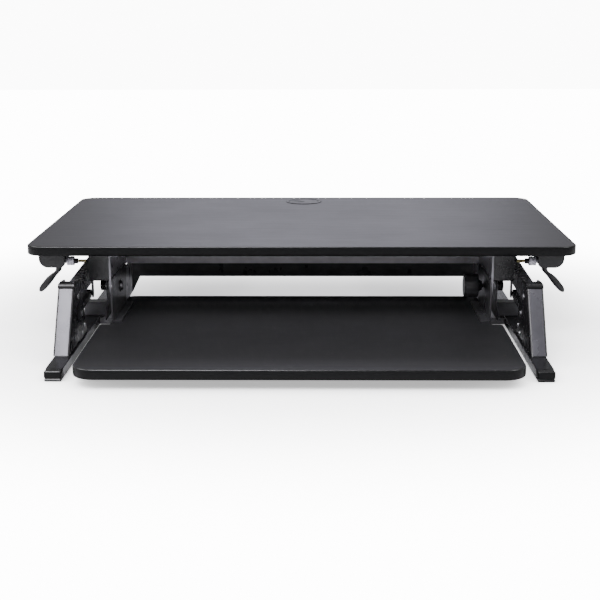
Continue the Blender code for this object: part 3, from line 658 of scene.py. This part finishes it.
def cut(obj, tool):
    """Takes the tool's shape out of the object and removes the tool."""
    cutting = obj.modifiers.new("slot", "BOOLEAN")
    cutting.operation = "DIFFERENCE"
    cutting.object = tool
    graph = bpy.context.evaluated_depsgraph_get()
    mesh = bpy.data.meshes.new_from_object(obj.evaluated_get(graph))
    obj.modifiers.clear()
    obj.data = mesh
    bpy.data.objects.remove(tool)


def grommet():
    """A round cable cover: a domed rim over a sleeve, and a turning cap with a leaf-shaped slot."""
    proud = RING_HIGH.z - SURFACE
    wall = [
        (0.0001, 0.0350), (0.0006, 0.0349), (0.0011, 0.0342), (proud, 0.0330), (proud, 0.0296),
        (0.0009, 0.0290), (0.0004, 0.0286), (-0.0148, 0.0286), (-0.0148, 0.0312), (0.0001, 0.0312),
    ]
    rim = tube_wall(wall, (GROMMET.x, GROMMET.y, SURFACE), (0, 0, 1))
    piece("grommet_rim", rim, PLASTIC, "worktop", ["grommet_ring"])
    leaf = prism(leaf_outline(), SURFACE - 0.01, SURFACE + 0.01, "Z")
    tool = piece("slot_tool", leaf, PLASTIC, "grommet_cap")
    outline = circle((GROMMET.x, GROMMET.y), GROMMET_COVER, 64)
    disc = prism(outline, SURFACE + COVER_UNDER, SURFACE + COVER_PROUD, "Z")
    cover = piece("grommet_cover", disc, PLASTIC, "grommet_cap", ["grommet_cap"])
    cut(cover, tool)
    soften(cover, 0.0004, 2)


finish_frame()
boards()
grommet()

# ---------------------------------------------------------------- towers and feet

TOWER_LOW, TOWER_HIGH = corners_of("tower_right")
FOOT_TOP = TOWER_LOW.z
TOWER_TOP = TOWER_HIGH.z
TOWER_FOOT = (-0.151, 0.002)
TOWER_HEAD = (-0.092, -0.045)
TOWER_STEEL = 0.0020
TOWER_BEND = 0.0030
CAP_OVERLAP = 0.0002
CHEEK = 0.0030
SCREW_RADIUS = 0.0034
SCREW_HEIGHT = 0.0016
TOWER_SCREWS = ((-0.0230, 0.0330), (-0.0405, 0.0240))
SOLE_TOP = 0.0042
SHOE_BOTTOM = 0.0035


def channel(inner, outer, reach, z):
    """A folded section, open at the rear, whose front corners are bent round."""
    front, rear = (behind(distance) for distance in reach)
    outside = [Vector((inner, rear, z))]
    inside = [Vector((inner + TOWER_STEEL, rear, z))]
    for corner, sign in ((inner, 1), (outer, -1)):
        centre = Vector((corner + sign * TOWER_BEND, front + TOWER_BEND, z))
        for step in range(6):
            angle = math.radians(90 * step / 5)
            if sign > 0:
                turn = Vector((-math.cos(angle), -math.sin(angle), 0))
            else:
                turn = Vector((math.sin(angle), -math.cos(angle), 0))
            outside.append(centre + turn * TOWER_BEND)
            inside.append(centre + turn * (TOWER_BEND - TOWER_STEEL))
    outside.append(Vector((outer, rear, z)))
    inside.append(Vector((outer - TOWER_STEEL, rear, z)))
    return outside + inside[::-1]


def between(first, second, share):
    """The outline a share of the way from the first outline to the second."""
    return [p.lerp(q, share) for p, q in zip(first, second)]


def tower(side, label):
    """A folded black steel upright: rounded front bends, a front face coated lighter as a painted
    reflection, and open at the back.
    """
    inner, outer = side_span(side, TOWER_LOW.x, TOWER_HIGH.x)
    foot_ring = channel(inner, outer, TOWER_FOOT, FOOT_TOP)
    head_ring = channel(inner, outer, TOWER_HEAD, TOWER_TOP)
    shape = bmesh.new()
    loft(shape, [between(foot_ring, head_ring, share) for share in (0, 0.01, 0.5, 0.99, 1)])
    shape.normal_update()
    bmesh.ops.recalc_face_normals(shape, faces=shape.faces)
    # Painted reflection: the large faces that look forward and up take the lighter coat.
    for face in shape.faces:
        if face.normal.y < -0.7 and face.normal.z > 0.2 and face.calc_area() > 1e-4:
            face.material_index = 1
    finishes = (BLACK_STEEL, PAINTED_LIT_FACE_STEEL)
    piece(f"tower_shell_{label}", shape, finishes, "base", [f"tower_{label}"])


def tower_cap(side, label):
    """A moulded cap that closes the tower's top, with a slot for the arm and a raised catch."""
    inner, outer = side_span(side, TOWER_LOW.x - CAP_OVERLAP, TOWER_HIGH.x + CAP_OVERLAP)
    base = TOWER_TOP + 0.0001
    nose_corners = [
        at(-0.0935, base), at(-0.0905, base + 0.0058), at(-0.0700, base + 0.0066), at(-0.0690, base),
    ]
    cheek_corners = [
        at(-0.0720, base), at(-0.0720, base + 0.0060), at(-0.0480, base + 0.0042), at(-0.0455, base),
    ]
    nose = prism(rounded(nose_corners, [0.0005, 0.0025, 0.0015, 0.0003], 4), inner, outer, "X")
    cheeks = []
    for low, high in ((inner, inner + CHEEK), (outer - CHEEK, outer)):
        cheeks.append(prism(rounded(cheek_corners, [0.0003, 0.0015, 0.0025, 0.0005], 4), low, high, "X"))
    x = (outer - 0.0062) if side > 0 else (inner + 0.0062)
    button = [(0.0, 0.0032), (0.0018, 0.0032), (0.0026, 0.0027), (0.0030, 0.0015), (0.0031, 0.0002)]
    catch = turned(button, (x, behind(-0.0775), base + 0.0058), (0, 0, 1), 24)
    shape = merged(nose, *cheeks, catch)
    # The edge band finish carries its painted sheen onto the cap's upward faces.
    cover = piece(f"tower_cover_{label}", shape, EDGE_BAND, "base", [f"tower_cap_{label}"])
    soften(cover, 0.0006, 3)


def block(stations, low, high, corner, steps, face, sign):
    """A rounded block along Y: each station is a reach back from its face and an inset."""
    rings = []
    for reach, inset in stations:
        outline = panel_outline(low, high, [corner] * 4, inset, steps)
        rings.append([Vector((p.x, face + sign * reach, p.y)) for p in outline])
    shape = bmesh.new()
    loft(shape, rings)
    return shape


def foot_end(end, sign, label):
    """A moulded cap on one end of a foot: its body, the sole under it and the plug in the tube."""
    low, high = corners_of(f"foot_tube_{label}")
    cap_low, cap_high = corners_of(f"foot_{end}_cap_{label}")
    face = cap_low.y if sign > 0 else cap_high.y
    seam = low.y if sign > 0 else high.y
    length = abs(cap_high.y - cap_low.y)
    body_stations = ((0.0, 0.0022), (0.0007, 0.0009), (0.0022, 0.0), (abs(seam - face) - 0.0006, 0.0))
    body = block(body_stations, (low.x, SHOE_BOTTOM), (high.x, cap_high.z), 0.0030, 5, face, sign)
    sole_stations = ((-0.0002, 0.0018), (0.0010, 0.0), (length - 0.0015, 0.0), (length, 0.0012))
    sole = block(sole_stations, (low.x + 0.0004, 0.0), (high.x - 0.0004, SOLE_TOP), 0.0019, 4, face, sign)
    plug_ends = sorted((seam - sign * 0.001, seam + sign * 0.008))
    plug_outline = panel_outline(
        (low.x + 0.002, low.z + 0.002), (high.x - 0.002, high.z - 0.002), [0.001] * 4, 0.0, 3)
    plug = prism(plug_outline, *plug_ends, "Y")
    # The edge band finish carries its painted sheen onto the foot end's upward faces.
    piece(f"foot_{end}_end_{label}", merged(body, sole, plug), EDGE_BAND, "base",
          [f"foot_{end}_cap_{label}"])


def screw(name, place, direction):
    """A button-head screw with a hex socket; place is where its head meets the surface."""
    turn = Vector(direction).normalized().to_track_quat("Z", "Y").to_matrix()
    angles = [2 * math.pi * k / 36 for k in range(36)]
    head = [(0.0, SCREW_RADIUS)]
    for tilt in (0, 20, 40, 60, 80, 90):
        rise = 0.35 + 0.65 * math.sin(math.radians(tilt))
        spread = 0.45 + 0.55 * math.cos(math.radians(tilt))
        head.append((SCREW_HEIGHT * rise, SCREW_RADIUS * spread))
    rings = []
    for along, radius in head:
        rings.append([Vector(place) + turn @ polar(radius, angle, along) for angle in angles])
    for depth in (SCREW_HEIGHT, SCREW_HEIGHT * 0.3):
        socket = []
        for angle in angles:
            local = (angle + math.pi / 6) % (math.pi / 3) - math.pi / 6
            flat = SCREW_RADIUS * 0.36 * math.cos(math.pi / 6) / math.cos(local)
            socket.append(Vector(place) + turn @ polar(flat, angle, depth))
        rings.append(socket)
    shape = bmesh.new()
    loft(shape, rings)
    piece(name, shape, ZINC, "base")


def tower_screws(side, label):
    """The two button screws low on the tower's inner side."""
    for count, (distance, height) in enumerate(TOWER_SCREWS, 1):
        place = (side * (TOWER_LOW.x - 0.0001), *at(distance, height))
        screw(f"tower_screw_{label}_{count}", place, (-side, 0, 0))


for side, label in SIDES:
    tower(side, label)
    tower_cap(side, label)
    tower_screws(side, label)
    foot_end("front", 1, label)
    foot_end("rear", -1, label)

# ---------------------------------------------------------------- release levers

HOUSING_LOW, HOUSING_HIGH = corners_of("lever_housing_right")
PIN_LOW, PIN_HIGH = corners_of("lever_pin_right")
LEVER_X = (PIN_LOW.x + PIN_HIGH.x) / 2
LEVER_Z = (PIN_LOW.z + PIN_HIGH.z) / 2
FLANGE = 0.0072
ROOF = 0.0020
SLEEVE_SWELL = 0.0012
SLEEVE_REACH = 0.0030
THREAD_PITCH = 0.0011
THREAD_DEPTH = 0.0004

# Across and up from the pin, then half the thickness and half the depth, down the lever.
LEVER_SPINE = (
    (0.0000, -0.0010, 0.0044, 0.0090),
    (-0.0026, -0.0062, 0.0047, 0.0088),
    (-0.0044, -0.0108, 0.0048, 0.0084),
    (-0.0036, -0.0152, 0.0043, 0.0080),
    (-0.0008, -0.0192, 0.0034, 0.0077),
    (0.0026, -0.0226, 0.0034, 0.0080),
    (0.0070, -0.0266, 0.0045, 0.0090),
    (0.0122, -0.0320, 0.0055, 0.0100),
    (0.0176, -0.0384, 0.0056, 0.0104),
    (0.0226, -0.0442, 0.0052, 0.0098),
    (0.0256, -0.0478, 0.0044, 0.0088),
    (0.0274, -0.0502, 0.0030, 0.0070),
    (0.0285, -0.0517, 0.0012, 0.0040),
)


def housing(side, label):
    """A moulded lever housing screwed under the worktop, open below for the lever."""
    low, high = HOUSING_LOW, HOUSING_HIGH
    corners = rectangle((side * low.x, side * high.x), low.z, high.z)
    flange = rounded(corners, [0.0080, 0.0150, 0.0006, 0.0006], 8)
    front = prism(flange, low.y, low.y + FLANGE, "Y")
    rear = prism(flange, high.y - FLANGE, high.y, "Y")
    wall_in = rectangle(side_span(side, low.x + 0.0003, LEVER_X - 0.0078), low.z + 0.0078, high.z)
    wall_out = rectangle(side_span(side, LEVER_X + 0.0190, high.x - 0.0003), low.z + 0.0140, high.z)
    roof = rectangle(side_span(side, low.x - 0.0006, high.x + 0.0006), high.z - ROOF, high.z)
    walls = [prism(wall, low.y + 0.007, high.y - 0.007, "Y") for wall in (wall_in, wall_out)]
    cover = prism(roof, low.y + 0.0005, high.y - 0.0005, "Y")
    shape = merged(front, rear, *walls, cover)
    shell = piece(f"lever_shell_{label}", shape, PLASTIC, "worktop",
                  [f"lever_housing_{label}"])
    soften(shell, 0.0009, 3)


def lever_blade(side, depth_middle):
    """The lever's neck and leaf, with rounded flat sections square to its spine."""
    rings = []
    for i, (across, up, half_width, half_depth) in enumerate(LEVER_SPINE):
        before = LEVER_SPINE[max(i - 1, 0)]
        after = LEVER_SPINE[min(i + 1, len(LEVER_SPINE) - 1)]
        run = Vector((after[0] - before[0], after[1] - before[1])).normalized()
        normal = Vector((-run.y, run.x))
        ring = []
        for step in range(28):
            angle = 2 * math.pi * step / 28
            cosine, sine = math.cos(angle), math.sin(angle)
            width = math.copysign(abs(cosine) ** 0.75, cosine) * half_width
            depth = math.copysign(abs(sine) ** 0.55, sine) * half_depth
            flat = Vector((across, up)) + normal * width
            ring.append(Vector((side * (LEVER_X + flat.x), depth_middle + depth, LEVER_Z + flat.y)))
        rings.append(ring)
    blade = bmesh.new()
    loft(blade, rings)
    return blade


def lever(side, label):
    """A squeeze lever: a hub on its pin, a narrow neck, and a leaf that is thick in the middle."""
    low, high = corners_of(f"release_lever_{label}")
    length = high.y - low.y
    blade = lever_blade(side, (low.y + high.y) / 2)
    barrel = [(0.0, 0.0050), (0.0006, 0.0055), (length - 0.0006, 0.0055), (length, 0.0050)]
    hub = turned(barrel, (side * LEVER_X, low.y, LEVER_Z), (0, 1, 0), 32)
    piece(f"squeeze_lever_{label}", merged(hub, blade), PLASTIC, f"lever_{label}",
          [f"release_lever_{label}"], 50)


def cable_fitting(node, side, label, start_shift, end_shift):
    """Where a fitting starts, its length and its radius, with each end moved inward by its shift."""
    low, high = corners_of(f"{node}_{label}")
    inner, outer = sorted((abs(low.x), abs(high.x)))
    start, end = outer - start_shift, inner - end_shift
    place = (side * start, (low.y + high.y) / 2, (low.z + high.z) / 2)
    return place, start - end, (high.z - low.z) / 2


def fittings(side, label):
    """Sleeve, lock nut and threaded brass adjuster of the release cable."""
    inward = (-side, 0, 0)
    place, length, radius = cable_fitting("cable_sleeve", side, label, 0, SLEEVE_REACH)
    radius += SLEEVE_SWELL
    groove = radius - 0.0005
    bore = 0.0031
    sleeve = [
        (0.0, radius), (length * 0.30, radius), (length * 0.34, groove), (length * 0.42, groove),
        (length * 0.46, radius), (length - 0.0008, radius), (length, radius - 0.0008),
        (length, bore), (0.0, bore),
    ]
    piece(f"sleeve_{label}", tube_wall(sleeve, place, inward, 40), SILVER, "worktop",
          [f"cable_sleeve_{label}"])

    place, length, radius = cable_fitting("adjuster_nut", side, label, SLEEVE_REACH, SLEEVE_REACH)
    bore = 0.0029
    nut = [
        (0.0, radius * 0.94), (0.0006, radius), (length - 0.0006, radius), (length, radius * 0.94),
        (length, bore), (0.0, bore),
    ]
    piece(f"lock_nut_{label}", tube_wall(nut, place, inward, 6), PLASTIC, "worktop",
          [f"adjuster_nut_{label}"])

    place, length, radius = cable_fitting("brass_adjuster", side, label, SLEEVE_REACH, 0)
    root = radius - THREAD_DEPTH
    bore = 0.0017
    thread = []
    for turn in range(int((length - 0.003) / THREAD_PITCH)):
        thread += [(turn * THREAD_PITCH, root), (turn * THREAD_PITCH + 0.0004, radius)]
    thread += [
        (length - 0.0030, root), (length - 0.0028, radius), (length - 0.0004, radius),
        (length, radius - 0.0003), (length, bore), (0.0, bore),
    ]
    piece(f"threaded_adjuster_{label}", tube_wall(thread, place, inward, 32), BRASS, "worktop",
          [f"brass_adjuster_{label}"])


for side, label in SIDES:
    housing(side, label)
    lever(side, label)
    fittings(side, label)

# ---------------------------------------------------------------- tilt knob and fasteners

KNOB_LOW, KNOB_HIGH = corners_of("tilt_knob")
TILT = ((KNOB_LOW + KNOB_HIGH) / 2).yz
KNOB_WIDTH = 0.0235
KNOB_GRIPS = 12
GRIP_DEPTH = 0.0009
GRIP_FADE = 0.0003
HANGER_FACE = 0.3052
WASHER = 0.0013


def grip_depth(along, radius):
    """How deep the knob's grips are at one ring of its rim."""
    if 0.001 < along < KNOB_WIDTH - 0.001 and radius > 0.019:
        return GRIP_DEPTH
    if radius > 0.0175:
        return GRIP_FADE
    return 0


def knob():
    """A clamp knob: a gripped rim with softened edges, a cone behind it and its stud."""
    width = KNOB_WIDTH
    stations = (
        (0.0, 0.0150), (0.0, 0.0180), (0.0005, 0.0192), (0.0016, 0.0202), (0.0032, 0.0207),
        (width - 0.0032, 0.0207), (width - 0.0016, 0.0202), (width - 0.0005, 0.0192), (width, 0.0180),
        (width + 0.0006, 0.0120), (width + 0.0040, 0.0085), (width + 0.0068, 0.0074),
    )
    rings = []
    for along, radius in stations:
        depth = grip_depth(along, radius)
        ring = []
        for k in range(96):
            angle = 2 * math.pi * k / 96
            r = radius - depth * (0.5 - 0.5 * math.cos(KNOB_GRIPS * angle)) ** 2
            y, z = TILT.x + r * math.cos(angle), TILT.y + r * math.sin(angle)
            ring.append(Vector((KNOB_LOW.x + along, y, z)))
        rings.append(ring)
    shape = bmesh.new()
    loft(shape, rings)
    stud_start = width + 0.0060
    stud_length = KNOB_HIGH.x - KNOB_LOW.x - stud_start
    profile = [(0.0, 0.0034), (stud_length - 0.0005, 0.0034), (stud_length, 0.0028)]
    stud = turned(profile, (KNOB_LOW.x + stud_start, TILT.x, TILT.y), (1, 0, 0), 28)
    piece("clamp_knob", merged(shape, stud), KNOB_PLASTIC, "tilt_knob", ["tilt_knob"])


def tray_bolt():
    """The tray's left pivot: a domed socket bolt and its washer, through the bracket and the hanger."""
    low, _ = corners_of("tilt_bolt")
    seat = -low.x - HANGER_FACE
    shank = 0.0034
    profile = [(0.0, 0.0029), (0.0006, shank), (seat, shank), (seat, 0.0100), (seat + 0.0003, 0.0104),
               (seat + 0.0010, 0.0104), (seat + WASHER, 0.0100), (seat + WASHER, 0.0084)]
    for degrees in (0, 15, 30, 45, 60, 75, 90):
        angle = math.radians(degrees)
        profile.append((seat + 0.0014 + 0.0034 * math.sin(angle), 0.0034 + 0.0050 * math.cos(angle)))
    profile += [(seat + 0.0048, 0.0030), (seat + 0.0020, 0.0028)]
    piece("tray_pivot_bolt", turned(profile, (low.x, *TILT), (1, 0, 0)), ZINC, "tray", ["tilt_bolt"])


knob()
tray_bolt()

# ---------------------------------------------------------------- the desk under it

DESK_HALF_SIZE = 6
DESK_DROP = 0.0002


def make_desk():
    """A plain white desk top just under the feet."""
    shape = bmesh.new()
    bmesh.ops.create_grid(shape, x_segments=1, y_segments=1, size=DESK_HALF_SIZE)
    mesh = bpy.data.meshes.new("desk_surface")
    shape.to_mesh(mesh)
    shape.free()
    mesh.materials.append(desk_white())
    desk = bpy.data.objects.new("desk_surface", mesh)
    desk.location = (0, 0, -DESK_DROP)
    bpy.context.scene.collection.objects.link(desk)


make_desk()
